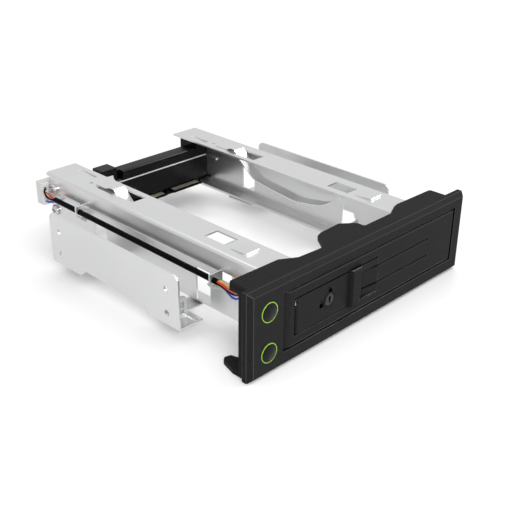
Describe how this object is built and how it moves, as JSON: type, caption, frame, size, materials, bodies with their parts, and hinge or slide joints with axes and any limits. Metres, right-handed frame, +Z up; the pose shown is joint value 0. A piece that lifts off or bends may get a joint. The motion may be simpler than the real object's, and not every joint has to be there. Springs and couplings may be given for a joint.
{
  "type": "hot swap drive cage",
  "caption": "Hot swap cage for one 3.5 inch drive in a 5.25 inch bay: hinged door with keyed latch lever, sheet metal rails, leaf springs and a backplane.",
  "frame": {"origin": "middle of the width, on the bezel's rear face plane at the level of its bottom edge", "axes": "X to the right seen from the front, Y from the bezel to the rear, Z up"},
  "size_m": [0.1484, 0.1793, 0.0416],
  "materials": {
    "black_plastic": "fine satin texture",
    "holder_plastic": "glossy moulded",
    "socket_plastic": "moulded",
    "zinc_steel": "plated sheet, soft gloss",
    "spring_steel": "bright",
    "screw_steel": "plated",
    "pin_steel": "ground",
    "lock_metal": "dark polished",
    "light_green": "clear light guide",
    "board_green": "solder resist",
    "contact_gold": "gold flash",
    "white_plastic": "moulded",
    "sleeve_black": "smooth sleeve",
    "wire_black": "insulation",
    "wire_red": "insulation",
    "wire_yellow": "insulation",
    "wire_blue": "insulation"
  },
  "bodies": {
    "cage": {"backplane_board": "board_green", "bezel_frame": "black_plastic", "board_screws": "screw_steel", "bracket_left": "zinc_steel", "bracket_right": "zinc_steel", "button_switches": "socket_plastic", "cable_sleeve": "sleeve_black", "data_inlet": "socket_plastic", "door_hinge_pin": "pin_steel", "front_plug": "white_plastic", "light_ring_lower": "light_green", "light_ring_upper": "light_green", "power_inlet": "socket_plastic", "rail_left": "zinc_steel", "rail_right": "zinc_steel", "rear_holder": "holder_plastic", "sata_socket": "socket_plastic", "side_screws": "screw_steel", "socket_contacts": "contact_gold", "spring_left": "spring_steel", "spring_right": "spring_steel", "switch_board": "board_green", "switch_board_screws": "screw_steel", "tie_strip": "zinc_steel", "wire_black": "wire_black", "wire_blue": "wire_blue", "wire_red": "wire_red", "wire_wafer": "white_plastic", "wire_yellow": "wire_yellow"},
    "door": {"door_leaf": "black_plastic", "lever_pin": "pin_steel", "lever_spring": "spring_steel"},
    "lever": {"latch_lever": "black_plastic", "lock_housing": "black_plastic"},
    "lock": {"lock_plug": "lock_metal", "lock_cam": "lock_metal"},
    "button_upper": {"button_upper": "black_plastic"},
    "button_lower": {"button_lower": "black_plastic"}
  },
  "joints": [
    {"name": "door_hinge", "type": "hinge", "parent": "cage", "child": "door", "pos_m": [0.0643, -0.0028, 0], "axis": [0, 0, 1], "range_deg": [0, 90]},
    {"name": "lever_pivot", "type": "hinge", "parent": "door", "child": "lever", "pos_m": [-0.0464, -0.0031, 0], "axis": [0, 0, -1], "range_deg": [0, 28], "stiffness_Nm_per_rad": 0.02, "springref_deg": -17.19},
    {"name": "lock_turn", "type": "hinge", "parent": "lever", "child": "lock", "pos_m": [-0.0266, -0.0048, 0.0214], "axis": [0, -1, 0], "range_deg": [0, 90]},
    {"name": "upper_press", "type": "slide", "parent": "cage", "child": "button_upper", "axis": [0, 1, 0], "range_m": [0, 0.0008], "stiffness_N_per_m": 400, "springref_m": -0.0005},
    {"name": "lower_press", "type": "slide", "parent": "cage", "child": "button_lower", "axis": [0, 1, 0], "range_m": [0, 0.0008], "stiffness_N_per_m": 400, "springref_m": -0.0005}
  ]
}
